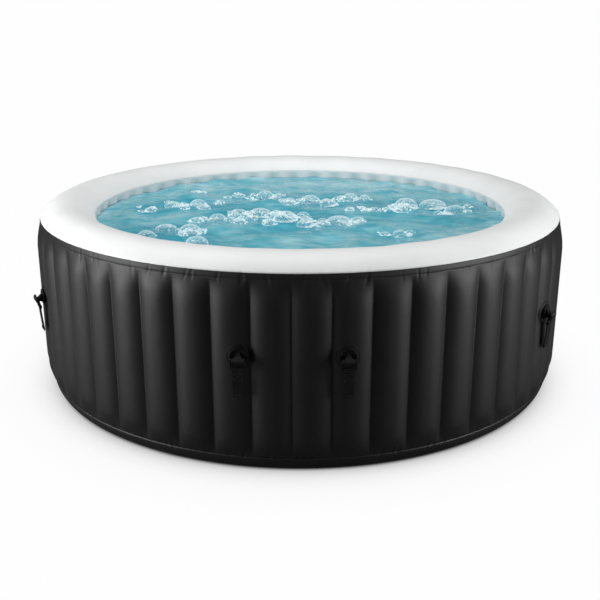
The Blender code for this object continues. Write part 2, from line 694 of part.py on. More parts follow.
def strap_mesh():
    """Webbing folded round the buckle's lower bar and sewn into a hanging tail."""
    half = STRAP_THICKNESS / 2
    loop = arc((0, 0), STRAP_LOOP_OUTER, radians(-60), radians(240), 11)
    root, end = -0.0085, -STRAP_LENGTH
    tail = [(-half, root), (-half - STRAP_LEAN * 0.5, root + (end - root) * 0.45),
            (-half - STRAP_LEAN, end), (half - STRAP_LEAN, end),
            (half - STRAP_LEAN * 0.5, root + (end - root) * 0.45), (half, root)]
    hole = arc((0, 0), STRAP_LOOP_INNER, 0, -tau * 7 / 8, 8)
    return smooth(extruded([loop + tail, hole], STRAP_HALF_WIDTH))


def build_anchors():
    plate, buckle, strap = plate_mesh(), buckle_mesh(), strap_mesh()
    lower = (-BUCKLE_LOWER_REACH * sin(BUCKLE_TILT), -BUCKLE_LOWER_REACH * cos(BUCKLE_TILT))
    for name, (azimuth, height) in ANCHOR_SPOTS.items():
        facing = azimuth + slope_at(azimuth) / 2
        build_patch(f"anchor_patch_{name}", azimuth, height)
        radius = seat_radius(azimuth, facing, height)
        frame = wall_frame(f"anchor_frame_{name}", azimuth, height, radius, facing)
        add_part(f"anchor_plate_{name}", plate, BLACK_PLASTIC, parent=frame)
        pin = add_part(f"strap_buckle_{name}", buckle, BLACK_PLASTIC, parent=frame,
                       location=(0, -EYE_CENTRE[0], EYE_CENTRE[1]))
        add_part(f"strap_{name}", strap, WEBBING, parent=pin, location=(0, -lower[0], lower[1]))


build_walls()
build_rim()
build_base()
build_bubble_channel()
build_web()
for port, port_azimuth in WATER_PORTS.items():
    build_water_port(port, port_azimuth)
build_air_port()
build_inflation_valve()
build_drain()
build_anchors()
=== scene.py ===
import json
import random
from math import cos, pi, radians, sin, tau

import bmesh
import bpy
import numpy as np
from mathutils import Matrix, Vector


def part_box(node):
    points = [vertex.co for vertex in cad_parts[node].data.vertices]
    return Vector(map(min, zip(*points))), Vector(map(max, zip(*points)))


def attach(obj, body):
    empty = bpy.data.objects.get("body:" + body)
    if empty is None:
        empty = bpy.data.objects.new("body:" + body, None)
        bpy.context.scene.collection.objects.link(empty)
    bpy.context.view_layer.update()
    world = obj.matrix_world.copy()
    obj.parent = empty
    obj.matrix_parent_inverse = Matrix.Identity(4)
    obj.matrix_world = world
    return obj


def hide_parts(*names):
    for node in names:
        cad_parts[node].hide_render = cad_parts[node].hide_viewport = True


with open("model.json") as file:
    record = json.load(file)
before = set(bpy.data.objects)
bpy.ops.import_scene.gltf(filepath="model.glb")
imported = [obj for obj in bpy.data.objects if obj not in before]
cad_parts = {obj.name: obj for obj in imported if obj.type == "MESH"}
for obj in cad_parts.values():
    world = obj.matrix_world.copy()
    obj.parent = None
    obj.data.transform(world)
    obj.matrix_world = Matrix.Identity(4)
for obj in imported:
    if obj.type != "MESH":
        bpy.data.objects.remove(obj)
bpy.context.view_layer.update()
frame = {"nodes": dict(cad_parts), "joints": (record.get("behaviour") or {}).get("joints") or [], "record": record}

# Sizes of the tub that part.py also uses, in metres
CHANNELS = 51
CHANNEL_ANGLE = tau / CHANNELS
SEAM_AZIMUTH = radians(-1.52)
RIM_SEAM_RADIUS, INNER_SEAM_RADIUS = 1.000, 0.798
RIM_SEAM_HEIGHT, INNER_SEAM_HEIGHT = 0.6555, 0.6445
WALL_VALLEY_RADIUS, CHANNEL_BULGE = 1.002, 0.017
INNER_VALLEY_RADIUS, INNER_BULGE = 0.818, 0.015
UPPER_WELD_HEIGHT, LOWER_WELD_HEIGHT = 0.6360, 0.050
LOWER_WELD_RADIUS, UPPER_WELD_RADIUS = 1.000, 1.003
BASE_EDGE_RADIUS, BASE_CONTACT_RADIUS = 0.999, 0.961
CREST_RADIUS = WALL_VALLEY_RADIUS + CHANNEL_BULGE
EYE_OUT, EYE_UP, EYE_RADIUS, PIN_RADIUS = 0.022, -0.009, 0.0055, 0.0025
LUG_PEAK_UP, LUG_PEAK_HALF_WIDTH = 0.0150, 0.0020
LUG_FOOT_HALF_WIDTH, LUG_EYE_HALF_WIDTH = 0.0150, 0.0120
BUCKLE_TILT, BUCKLE_LOWER_REACH = radians(14), 0.0255
COVER_DEPTH, COVER_HALF_HEIGHT, COVER_WALL, COVER_HALF_WIDTH = 0.0090, 0.0135, 0.0020, 0.0205
CHEEK_MIDDLE, LEG_HALF_DEPTH = 0.0210, 0.0029
STRAP_LENGTH, STRAP_LEAN, STRAP_HALF_WIDTH = 0.096, 0.0080, 0.0182
RIM_RISE = 0.0506
WATER_LEVEL, WATER_THICKNESS = 0.614, 0.030

# Finer sizes that only the visible pieces have
SKIN = 0.0012
SEAM_HALF_WIDTH = 0.0014 / (CREST_RADIUS * CHANNEL_ANGLE)
WELD_SINK = 0.0008
RIM_SCALLOP = 0.0010
RIPPLE = 0.0030
CHANNEL_POWER = 2.25
OUTER_RUNS, INNER_RUNS, INNER_LEAN_RUN = (0.075, 0.095), (0.060, 0.050), 0.065
RIPPLE_WAVES, DRIFT_WAVES = 60, 14
FOAM_GIRTH = 0.0013
THREAD_RADIUS, STITCH_PITCH = 0.00035, 0.0036
FILLET = 0.0006
WALL_COLUMNS, BASE_COLUMNS, RIM_COLUMNS, INNER_COLUMNS, WATER_COLUMNS = 34, 18, 18, 14, 10

TUB = "tub"
ANCHORS = ["front_left", "front_right", "side_left", "side_right", "rear_left", "rear_right"]
JOINTS = {joint["name"]: joint for joint in frame["joints"]}


# ---------------------------------------------------------------- camera, light and stage

def add_camera():
    data = bpy.data.cameras.new("camera")
    data.lens = 53.44
    data.sensor_width = 36
    camera = bpy.data.objects.new("camera", data)
    bpy.context.scene.collection.objects.link(camera)
    camera.location = (0, -3.501, 1.3946)
    camera.rotation_euler = (pi / 2 - 0.3167, 0, 0)
    bpy.context.scene.camera = camera


BACKDROP = 0.991
CONTACT_SHADOW = [(0.08, 0.01), (0.20, 0.26), (0.36, 0.55), (0.50, 0.74), (0.60, 0.89), (0.72, 0.97),
                  (1.0, 1.0)]


def add_softbox(name, centre, target, size, power):
    data = bpy.data.lights.new(name, "AREA")
    data.shape = "RECTANGLE"
    data.size, data.size_y = size
    data.energy = power
    light = bpy.data.objects.new(name, data)
    bpy.context.scene.collection.objects.link(light)
    light.location = centre
    light.rotation_euler = (Vector(target) - Vector(centre)).to_track_quat("-Z", "Y").to_euler()


def add_lights():
    add_softbox("key_left", (-3.2, -1.5, 0.95), (0, 0, 0.3), (1.7, 1.8), 116)
    add_softbox("key_right", (3.2, -1.5, 0.95), (0, 0, 0.3), (1.7, 1.8), 90)
    add_softbox("overhead", (-0.3, 0.0, 3.6), (0, 0.1, 0.6), (3.4, 2.8), 98)


def add_world():
    """White to the eye, dim as a light, so that the black wall keeps its contrast."""
    world = bpy.data.worlds.new("studio")
    bpy.context.scene.world = world
    world.use_nodes = True
    tree = world.node_tree
    tree.nodes.clear()
    out = tree.nodes.new("ShaderNodeOutputWorld")
    mix = tree.nodes.new("ShaderNodeMixShader")
    rays = tree.nodes.new("ShaderNodeLightPath")
    light = tree.nodes.new("ShaderNodeBackground")
    light.inputs["Color"].default_value = (0.96, 0.98, 1, 1)
    light.inputs["Strength"].default_value = 0.16
    seen = tree.nodes.new("ShaderNodeBackground")
    seen.inputs["Color"].default_value = (1, 1, 1, 1)
    seen.inputs["Strength"].default_value = BACKDROP
    tree.links.new(rays.outputs["Is Camera Ray"], mix.inputs[0])
    tree.links.new(light.outputs[0], mix.inputs[1])
    tree.links.new(seen.outputs[0], mix.inputs[2])
    tree.links.new(mix.outputs[0], out.inputs["Surface"])


def add_floor():
    """A pale floor, white like the backdrop, with a soft contact shadow under the tub."""
    mesh = bpy.data.meshes.new("floor")
    bm = bmesh.new()
    bmesh.ops.create_circle(bm, cap_ends=True, segments=96, radius=30)
    bm.to_mesh(mesh)
    bm.free()
    floor = bpy.data.objects.new("floor", mesh)
    floor.location.z = -0.0005
    bpy.context.scene.collection.objects.link(floor)
    material, shader, tree = new_material("studio_floor", (0.16, 0.16, 0.16), 0.9)
    rays = tree.nodes.new("ShaderNodeLightPath")
    near = tree.nodes.new("ShaderNodeAmbientOcclusion")
    near.samples = 24
    near.inputs["Distance"].default_value = 0.30
    shade = ramp(tree, near.outputs["AO"], [(stop, (grey,) * 3) for stop, grey in CONTACT_SHADOW])
    glow = tree.nodes.new("ShaderNodeEmission")
    glow.inputs["Strength"].default_value = BACKDROP
    tree.links.new(shade, glow.inputs["Color"])
    mix = tree.nodes.new("ShaderNodeMixShader")
    tree.links.new(rays.outputs["Is Camera Ray"], mix.inputs[0])
    tree.links.new(shader.outputs[0], mix.inputs[1])
    tree.links.new(glow.outputs[0], mix.inputs[2])
    tree.links.new(mix.outputs[0], tree.nodes["Material Output"].inputs["Surface"])
    mesh.materials.append(material)


# ---------------------------------------------------------------- materials

def new_material(name, colour, roughness, **sockets):
    material = bpy.data.materials.new(name)
    material.use_nodes = True
    tree = material.node_tree
    shader = tree.nodes["Principled BSDF"]
    shader.inputs["Base Color"].default_value = (*colour, 1)
    shader.inputs["Roughness"].default_value = roughness
    for socket, value in sockets.items():
        shader.inputs[socket.replace("_", " ")].default_value = value
    return material, shader, tree


def object_coordinates(tree):
    return tree.nodes.new("ShaderNodeTexCoord").outputs["Object"]


def noise(tree, vector, scale, detail, stretch=None):
    node = tree.nodes.new("ShaderNodeTexNoise")
    node.inputs["Scale"].default_value = scale
    node.inputs["Detail"].default_value = detail
    if stretch:
        mapping = tree.nodes.new("ShaderNodeMapping")
        mapping.inputs["Scale"].default_value = stretch
        tree.links.new(vector, mapping.inputs["Vector"])
        vector = mapping.outputs["Vector"]
    tree.links.new(vector, node.inputs["Vector"])
    return node.outputs["Fac"]


def cells(tree, vector, scale):
    node = tree.nodes.new("ShaderNodeTexVoronoi")
    node.inputs["Scale"].default_value = scale
    tree.links.new(vector, node.inputs["Vector"])
    return node.outputs["Distance"]


def waves(tree, vector, scale, direction, distortion):
    node = tree.nodes.new("ShaderNodeTexWave")
    node.bands_direction = direction
    node.inputs["Scale"].default_value = scale
    node.inputs["Distortion"].default_value = distortion
    tree.links.new(vector, node.inputs["Vector"])
    return node.outputs["Fac"]


def ramp(tree, value, stops):
    """A colour ramp from (position, colour) stops."""
    node = tree.nodes.new("ShaderNodeValToRGB")
    elements = node.color_ramp.elements
    while len(elements) < len(stops):
        elements.new(0.5)
    for element, (position, colour) in zip(elements, stops):
        element.position = position
        element.color = (*colour, 1)
    tree.links.new(value, node.inputs["Fac"])
    return node.outputs["Color"]


def remap(tree, value, low, high):
    node = tree.nodes.new("ShaderNodeMapRange")
    node.inputs["To Min"].default_value = low
    node.inputs["To Max"].default_value = high
    tree.links.new(value, node.inputs["Value"])
    return node.outputs["Result"]


def math(tree, operation, a, b):
    node = tree.nodes.new("ShaderNodeMath")
    node.operation = operation
    for socket, value in zip(node.inputs, (a, b)):
        if isinstance(value, (int, float)):
            socket.default_value = value
        else:
            tree.links.new(value, socket)
    return node.outputs[0]


def add_bump(tree, shader, layers):
    """Stacks bumps given as (height, strength, distance) on the shader's normal."""
    normal = None
    for height, strength, distance in layers:
        bump = tree.nodes.new("ShaderNodeBump")
        bump.inputs["Strength"].default_value = strength
        bump.inputs["Distance"].default_value = distance
        tree.links.new(height, bump.inputs["Height"])
        if normal:
            tree.links.new(normal, bump.inputs["Normal"])
        normal = bump.outputs["Normal"]
    tree.links.new(normal, shader.inputs["Normal"])


def pvc(name, dark, light, roughness, grain, specular):
    """Laminated PVC: faint colour drift, uneven sheen, and a fine leather-like grain."""
    material, shader, tree = new_material(name, dark, roughness, Specular_IOR_Level=specular)
    place = object_coordinates(tree)
    drift = noise(tree, place, 5.0, 3.0)
    tree.links.new(ramp(tree, drift, [(0.35, dark), (0.65, light)]), shader.inputs["Base Color"])
    sheen = noise(tree, place, 22.0, 4.0)
    tree.links.new(remap(tree, sheen, roughness - 0.06, roughness + 0.08), shader.inputs["Roughness"])
    pits = cells(tree, place, grain)
    slack = noise(tree, place, 16.0, 3.0)
    add_bump(tree, shader, [(slack, 0.12, 0.004), (pits, 0.25, 0.0004)])
    return material


def moulded(name, dark, light, roughness):
    """Injection-moulded plastic with a spark-eroded skin and rubbed patches."""
    material, shader, tree = new_material(name, dark, roughness, Specular_IOR_Level=0.14)
    place = object_coordinates(tree)
    rub = noise(tree, place, 60.0, 4.0)
    tree.links.new(ramp(tree, rub, [(0.3, dark), (0.75, light)]), shader.inputs["Base Color"])
    tree.links.new(remap(tree, rub, roughness + 0.08, roughness - 0.06), shader.inputs["Roughness"])
    add_bump(tree, shader, [(noise(tree, place, 1800.0, 1.0), 0.25, 0.0002)])
    return material


def webbing_material():
    """Flat woven webbing: ribs along the width, yarn turns across them, with painted highlights on the raised yarn
    and painted shade in the hollows of the weave.
    """
    material, shader, tree = new_material("webbing", (0.02, 0.02, 0.021), 0.78,
                                          Sheen_Weight=0.02, Sheen_Roughness=0.4,
                                          Specular_IOR_Level=0.10)
    place = object_coordinates(tree)
    warp = waves(tree, place, 190.0, "X", 0.4)
    weft = waves(tree, place, 150.0, "Z", 0.4)
    weave = math(tree, "MULTIPLY", warp, weft)
    fibre = noise(tree, place, 900.0, 3.0, (1, 1, 0.15))
    height = math(tree, "ADD", weave, math(tree, "MULTIPLY", fibre, 0.4))
    # Painted shade and highlight: the colour follows the weave's height, darker in its hollows, lighter on the
    # raised yarn.
    shade = math(tree, "MULTIPLY", height, 0.7)
    colours = [(0.15, (0.003, 0.003, 0.0032)), (0.8, (0.016, 0.016, 0.017))]
    tree.links.new(ramp(tree, shade, colours), shader.inputs["Base Color"])
    tree.links.new(remap(tree, fibre, 0.7, 0.9), shader.inputs["Roughness"])
    add_bump(tree, shader, [(height, 0.9, 0.0008)])
    return material


def thread_material():
    material, shader, tree = new_material("thread", (0.02, 0.02, 0.021), 0.6)
    place = object_coordinates(tree)
    twist = waves(tree, place, 900.0, "DIAGONAL", 0.2)
    # Painted shade: the colour follows the twist that also sets the bump, darker in its grooves, lighter on its
    # ridges.
    colours = [(0.2, (0.008, 0.008, 0.0085)), (0.8, (0.034, 0.034, 0.036))]
    tree.links.new(ramp(tree, twist, colours), shader.inputs["Base Color"])
    add_bump(tree, shader, [(twist, 0.6, 0.0002)])
    return material


def water_material():
    """Clear water over a pale liner: teal, with blotches of painted caustic light and shade, darker round the
    bubble rafts, and fine ripples.
    """
    material, shader, tree = new_material("water", (0.20, 0.46, 0.53), 0.06,
                                          IOR=1.333, Specular_IOR_Level=0.4)
    place = object_coordinates(tree)
    # Painted caustic light and shade: the blotches that depth and bend make on the teal stand for light, not for
    # depth of water.
    depth = noise(tree, place, 4.0, 3.0, (1, 1.8, 1))
    bend = noise(tree, place, 13.0, 4.0, (1, 1.6, 1))
    swirl = math(tree, "ADD", math(tree, "MULTIPLY", depth, 0.50), math(tree, "MULTIPLY", bend, 0.50))
    # Darker teal round the bubble rafts, read from an attribute on the water mesh.
    raft_darkening = tree.nodes.new("ShaderNodeAttribute")
    raft_darkening.attribute_name = "raft_darkening"
    swirl = math(tree, "SUBTRACT", swirl, math(tree, "MULTIPLY", raft_darkening.outputs["Fac"], 0.16))
    colours = [(0.28, (0.028, 0.290, 0.385)), (0.42, (0.085, 0.370, 0.455)),
               (0.52, (0.175, 0.450, 0.520)), (0.66, (0.330, 0.565, 0.615))]
    tree.links.new(ramp(tree, swirl, colours), shader.inputs["Base Color"])
    fine = noise(tree, place, 44.0, 4.0, (1, 1.5, 1))
    tree.links.new(remap(tree, fine, 0.03, 0.12), shader.inputs["Roughness"])
    add_bump(tree, shader, [(noise(tree, place, 20.0, 4.0), 0.6, 0.012), (fine, 0.45, 0.005)])
    return material


def bubble_material():
    """A thin film: clear where it is faced squarely, white towards its outline as a painted rim reflection, with
    thin painted glints and a faint painted glow.
    """
    # The emission is a painted glow, and the gleam lines are painted glints.
    material, shader, tree = new_material("bubble_film", (0.90, 0.985, 1.0), 0.05,
                                          Specular_IOR_Level=0.8, Emission_Strength=0.10)
    shader.inputs["Emission Color"].default_value = (0.75, 0.95, 1.0, 1)
    place = object_coordinates(tree)
    froth = noise(tree, place, 55.0, 2.0)
    edge = tree.nodes.new("ShaderNodeLayerWeight")
    edge.inputs["Blend"].default_value = 0.5
    rim = math(tree, "POWER", edge.outputs["Facing"], 3.4)
    gleam = ramp(tree, froth, [(0.40, (0, 0, 0)), (0.42, (0.7, 0.7, 0.7)), (0.44, (0.04, 0.04, 0.04)),
                               (0.57, (0, 0, 0)), (0.59, (0.8, 0.8, 0.8)), (0.61, (0.03, 0.03, 0.03))])
    clear = math(tree, "MAXIMUM", math(tree, "ADD", rim, gleam), 0.03)
    tree.links.new(clear, shader.inputs["Alpha"])
    tree.links.new(remap(tree, froth, 0.02, 0.10), shader.inputs["Roughness"])
    add_bump(tree, shader, [(froth, 0.25, 0.002)])
    return material


def foam_material():
    """White froth where a bubble's film meets the water."""
    # The emission is a faint painted glow on the froth.
    material, shader, tree = new_material("foam", (0.86, 0.96, 0.98), 0.35, Emission_Strength=0.12)
    shader.inputs["Emission Color"].default_value = (0.8, 0.97, 1.0, 1)
    place = object_coordinates(tree)
    grain = noise(tree, place, 260.0, 3.0)
    colours = [(0.3, (0.62, 0.86, 0.90)), (0.6, (0.95, 0.99, 1.0))]
    tree.links.new(ramp(tree, grain, colours), shader.inputs["Base Color"])
    tree.links.new(remap(tree, grain, 0.2, 1.0), shader.inputs["Alpha"])
    add_bump(tree, shader, [(grain, 0.5, 0.001)])
    return material


# ---------------------------------------------------------------- mesh helpers

def add_piece(name, mesh, material, body=TUB, stands_for=(), matrix=None):
    piece = bpy.data.objects.new(name, mesh)
    bpy.context.scene.collection.objects.link(piece)
    if matrix is not None:
        piece.matrix_world = matrix
    if not mesh.materials:
        mesh.materials.append(material)
    bpy.context.view_layer.update()
    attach(piece, body)
    if stands_for:
        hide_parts(*stands_for)
    return piece


def grid_faces(rows, columns, close):
    """Quads over a grid whose columns wrap round; close is "caps", "loop" or None."""
    index = np.arange(rows * columns).reshape(rows, columns)
    if close == "loop":
        index = np.vstack([index, index[:1]])
    a, b = index[:-1], index[1:]
    quads = np.stack([a, b, np.roll(b, -1, 1), np.roll(a, -1, 1)], axis=-1).reshape(-1, 4)
    faces = quads.tolist()
    if close == "caps":
        faces += [index[0].tolist(), index[-1][::-1].tolist()]
    return faces


def grid_mesh(name, grids, close="caps", sharp=None):
    """One mesh from arrays of (rows, columns, 3) points, each its own surface."""
    points, faces = [], []
    for grid in grids:
        start = sum(len(part) for part in points)
        rows, columns = grid.shape[:2]
        faces += [[start + i for i in face] for face in grid_faces(rows, columns, close)]
        points.append(grid.reshape(-1, 3))
    mesh = bpy.data.meshes.new(name)
    mesh.from_pydata(np.concatenate(points).tolist(), [], faces)
    mesh.shade_smooth()
    if sharp:
        mesh.set_sharp_from_angle(angle=sharp)
    return mesh


def polar(radius, azimuth, height):
    """Points from arrays of radius, azimuth and height."""
    radius, azimuth, height = np.broadcast_arrays(radius, azimuth, height)
    return np.stack([radius * np.sin(azimuth), -radius * np.cos(azimuth), height], axis=-1)


def drift(seed, azimuth, height):
    """Smooth, seeded unevenness round the tub, about -1 to 1, without a break at the back."""
    rng = np.random.default_rng(seed)
    total = 0
    for _ in range(DRIFT_WAVES):
        turns = rng.integers(2, 40)
        rise, phase = rng.uniform(-9.0, 9.0), rng.uniform(0, tau)
        total = total + np.sin(turns * azimuth + rise * height + phase)
    return total / np.sqrt(DRIFT_WAVES)


def add_skin(piece):
    skin = piece.modifiers.new("skin", "SOLIDIFY")
    skin.thickness = SKIN
    skin.offset = -1


# ---------------------------------------------------------------- tub skins

def channel_azimuths(columns):
    """Azimuths of one row: evenly spread over each channel, with a gap for its flat weld."""
    across = np.linspace(SEAM_HALF_WIDTH, 1 - SEAM_HALF_WIDTH, columns)
    channel = np.arange(CHANNELS)[:, None]
    return (SEAM_AZIMUTH + (channel + across) * CHANNEL_ANGLE).reshape(1, -1)


def place_across(azimuth):
    """Channel number, and the place across it: 0 on its first weld, 1 on its last."""
    turn = (azimuth - SEAM_AZIMUTH) / CHANNEL_ANGLE
    channel = np.floor(turn)
    inside = (turn - channel - SEAM_HALF_WIDTH) / (1 - 2 * SEAM_HALF_WIDTH)
    return channel.astype(int) % CHANNELS, np.clip(inside, 0, 1)


def bulge(azimuth):
    """0 on a weld, 1 on the crest of the channel."""
    return 1 - np.abs(2 * place_across(azimuth)[1] - 1) ** CHANNEL_POWER


def fullness(height, low, high, low_run, high_run):
    """0 at both welds, growing to 1 over the runs above and below them."""
    rise = np.clip((height - low) / low_run, 0, 1)
    fall = np.clip((high - height) / high_run, 0, 1)
    return np.sin(pi / 2 * rise) * np.sin(pi / 2 * fall)


def fold_list(seed, fewest, most, depth, length):
    """Creases as (channel, place across it, half width, depth, length, slant)."""
    rng = random.Random(seed)
    folds = []
    for channel in range(CHANNELS):
        for _ in range(rng.randint(fewest, most)):
            folds.append((
                channel, rng.uniform(0.16, 0.86), rng.uniform(0.022, 0.048),
                rng.uniform(*depth), rng.uniform(*length), rng.uniform(-3.0, 3.0),
            ))
    return folds


UPPER_FOLDS = fold_list(11, 1, 3, (0.0006, 0.0020), (0.010, 0.028))
LOWER_FOLDS = fold_list(12, 2, 4, (0.0012, 0.0026), (0.014, 0.026))


def creases(columns, away, folds, fade):
    """Inward folds that run from a weld. away is the distance from it into the channels,
    one for each row, and below 0 on the other side, where the folds end after fade."""
    across = np.linspace(0, 1, columns)
    total = np.zeros((len(away), CHANNELS, columns))
    for channel, place, width, depth, length, slant in folds:
        offset = (across[None, :] - place - slant * away[:, None]) / width
        shape = -np.exp(-offset ** 2) + 0.45 * np.exp(-((offset - 1.7) / 0.9) ** 2)
        reach = np.where(away > 0, np.exp(-(away / length) ** 2), np.clip(1 + away / fade, 0, 1))
        total[:, channel] += depth * shape * reach[:, None]
    return total.reshape(len(away), -1)


def outer_radius(azimuth, height):
    """Radius of the black wall without its folds, from the lower weld up to the rim seam."""
    channel, _ = place_across(azimuth)
    fill = 0.975 + 0.02 * np.sin(channel * 2.4) + 0.012 * np.sin(channel * 5.1)
    full = fullness(height, LOWER_WELD_HEIGHT, UPPER_WELD_HEIGHT, *OUTER_RUNS)
    weld_radius = np.where(height < 0.3, LOWER_WELD_RADIUS, UPPER_WELD_RADIUS)
    radius = weld_radius + (WALL_VALLEY_RADIUS - weld_radius) * full
    radius = radius + CHANNEL_BULGE * fill * bulge(azimuth) * full
    radius = radius + 0.0005 * full * drift(3, azimuth, height)
    band = np.clip((height - UPPER_WELD_HEIGHT) / (RIM_SEAM_HEIGHT - UPPER_WELD_HEIGHT), 0, 1)
    radius = radius + (RIM_SEAM_RADIUS - UPPER_WELD_RADIUS) * band + 0.0006 * np.sin(pi * band)
    for weld in (UPPER_WELD_HEIGHT, LOWER_WELD_HEIGHT):
        radius = radius - WELD_SINK * np.exp(-((height - weld) / 0.0014) ** 2)
    return radius


def wall_heights():
    """Rows of the black wall: close together at both welds, wide apart between."""
    band = np.linspace(RIM_SEAM_HEIGHT, UPPER_WELD_HEIGHT + 0.0018, 8)
    weld = UPPER_WELD_HEIGHT - np.array([0, 0.0018, 0.0036])
    top = np.linspace(UPPER_WELD_HEIGHT - 0.007, UPPER_WELD_HEIGHT - 0.060, 13)
    middle = np.linspace(0.550, 0.118, 12)
    foot = np.linspace(0.104, LOWER_WELD_HEIGHT + 0.005, 14)
    return np.concatenate([band, weld, top, middle, foot, LOWER_WELD_HEIGHT + np.array([0.0018, 0])])


def add_outer_skin(material):
    azimuth, height = channel_azimuths(WALL_COLUMNS), wall_heights()
    radius = outer_radius(azimuth, height[:, None])
    radius = radius + creases(WALL_COLUMNS, UPPER_WELD_HEIGHT - height, UPPER_FOLDS, 0.030)
    radius = radius + creases(WALL_COLUMNS, height - LOWER_WELD_HEIGHT, LOWER_FOLDS, 0.012)
    grid = polar(radius, azimuth, height[:, None])
    mesh = grid_mesh("outer_skin", [grid], close=None, sharp=radians(28))
    piece = add_piece("outer_skin", mesh, material, stands_for=["outer_wall"])
    add_skin(piece)


def add_base_skin(material):
    """The skirt below the lower weld, curving under to the flat underside."""
    azimuth = channel_azimuths(BASE_COLUMNS)
    rise = BASE_EDGE_RADIUS - BASE_CONTACT_RADIUS
    angle = np.linspace(0, pi / 2, 14)
    flat = np.array([0.90, 0.75, 0.55, 0.35, 0.15, 0.02])
    radius = np.concatenate([BASE_EDGE_RADIUS - rise * (1 - np.cos(angle)), flat])
    height = np.concatenate([LOWER_WELD_HEIGHT * (1 - np.sin(angle)), 0 * flat])
    row = np.arange(len(radius))[:, None]
    folds = creases(BASE_COLUMNS, height - LOWER_WELD_HEIGHT, LOWER_FOLDS, 0.014)
    radius = radius[:, None] + folds * np.exp(-(row / 6.0) ** 2)
    radius = radius + 0.0006 * drift(8, azimuth, 0) * np.exp(-((row - 5) / 2.2) ** 2)
    radius[0] = outer_radius(azimuth, np.array(LOWER_WELD_HEIGHT))[0] + folds[0] - 0.0001
    mesh = grid_mesh("base_skin", [polar(radius, azimuth, height[:, None])], close=None)
    bm = bmesh.new()
    bm.from_mesh(mesh)
    middle = [e for e in bm.edges if e.is_boundary and e.verts[0].co.xy.length < 0.05]
    bmesh.ops.holes_fill(bm, edges=middle, sides=0)
    bm.to_mesh(mesh)
    bm.free()
    mesh.shade_smooth()
    piece = add_piece("base_skin", mesh, material,
                      stands_for=["base_sheet", "base_skirt"])
    add_skin(piece)


def add_rim_skin(material):
    """The white arch, a little drawn in at each channel along both of its seams."""
    azimuth = channel_azimuths(RIM_COLUMNS)
    width = RIM_SEAM_RADIUS - INNER_SEAM_RADIUS
    climb = RIM_SEAM_HEIGHT - INNER_SEAM_HEIGHT
    half, tilt = np.hypot(width, climb) / 2, np.arctan2(climb, width)
    radius = (half ** 2 + RIM_RISE ** 2) / (2 * RIM_RISE)
    depth = radius - RIM_RISE
    spread = np.arctan2(half, depth)
    along = np.linspace(-1, 1, 32)
    along = (np.sign(along) * np.abs(along) ** 0.8)[:, None]
    swell = 0.0009 * drift(5, azimuth, along * 0.3) * (1 - along ** 2)
    lean = along * spread - tilt
    out = INNER_SEAM_RADIUS + width / 2 + depth * np.sin(tilt) + (radius + swell) * np.sin(lean)
    up = INNER_SEAM_HEIGHT + climb / 2 - depth * np.cos(tilt) + (radius + swell) * np.cos(lean)
    inner_edge = np.clip((-along - 0.55) / 0.45, 0, 1) ** 2
    outer_edge = np.clip((along - 0.72) / 0.28, 0, 1) ** 2
    out = out - inner_edge * RIM_SCALLOP * (bulge(azimuth) - 0.6)
    folds = creases(RIM_COLUMNS, np.full(len(along), UPPER_WELD_HEIGHT - RIM_SEAM_HEIGHT),
                    UPPER_FOLDS, 0.080)
    out = out + outer_edge * folds
    mesh = grid_mesh("rim_skin", [polar(out, azimuth, up)], close=None)
    piece = add_piece("rim_skin", mesh, material, stands_for=["rim_ring"])
    add_skin(piece)


def inner_radius(azimuth, height):
    """Radius of the liner, whose channels run softly into each other."""
    full = fullness(height, 0.012, INNER_SEAM_HEIGHT, *INNER_RUNS)
    lean = np.sin(pi / 2 * np.clip((INNER_SEAM_HEIGHT - height) / INNER_LEAN_RUN, 0, 1))
    valley = INNER_SEAM_RADIUS + (INNER_VALLEY_RADIUS - INNER_SEAM_RADIUS) * lean
    swell = 0.35 * bulge(azimuth) + 0.65 * (0.5 - 0.5 * np.cos(tau * place_across(azimuth)[1]))
    return valley - INNER_BULGE * swell * full + 0.0005 * drift(6, azimuth, height) * full


def add_inner_skin(material):
    azimuth = channel_azimuths(INNER_COLUMNS)
    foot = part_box("inner_wall")[0][2]
    top = INNER_SEAM_HEIGHT
    height = np.concatenate([
        np.linspace(foot, foot + 0.06, 8), np.linspace(foot + 0.10, top - 0.09, 8),
        np.linspace(top - 0.06, top, 14),
    ])[:, None]
    grid = polar(inner_radius(azimuth, height), azimuth, height)
    mesh = grid_mesh("inner_skin", [grid], close=None)
    piece = add_piece("inner_skin", mesh, material, stands_for=["inner_wall"])
    add_skin(piece)


# ---------------------------------------------------------------- water and bubbles

def ripples(x, y):
    """Height of the stirred surface, as a sum of seeded small waves."""
    rng = np.random.default_rng(21)
    total = 0
    for _ in range(RIPPLE_WAVES):
        length = rng.uniform(0.035, 0.30)
        heading, phase = rng.uniform(0, tau), rng.uniform(0, tau)
        wave = np.sin((x * cos(heading) + y * sin(heading)) * tau / length + phase)
        total = total + RIPPLE * length ** 0.9 * wave
    return total


def add_water(material):
    """A slab of water whose edge follows the channels of the inner wall."""
    azimuth = channel_azimuths(WATER_COLUMNS)
    share = np.concatenate([np.linspace(0.01, 0.945, 110), np.linspace(0.96, 1, 4)])[:, None]
    radius = (inner_radius(azimuth, WATER_LEVEL) - 0.0008) * share
    top = polar(radius, azimuth, WATER_LEVEL)
    top[..., 2] += ripples(top[..., 0], top[..., 1])
    depth = WATER_LEVEL - WATER_THICKNESS
    under = polar(radius[-1:] * np.array([1.0, 0.5, 0.01])[:, None], azimuth, depth)
    mesh = grid_mesh("water", [np.concatenate([top, under])], sharp=radians(50))
    places = np.concatenate([top, under]).reshape(-1, 3)
    raft_darkening = mesh.attributes.new("raft_darkening", "FLOAT", "POINT")
    raft_darkening.data.foreach_set("value", raft_darkening_share(places[:, 0], places[:, 1]))
    add_piece("water", mesh, material)


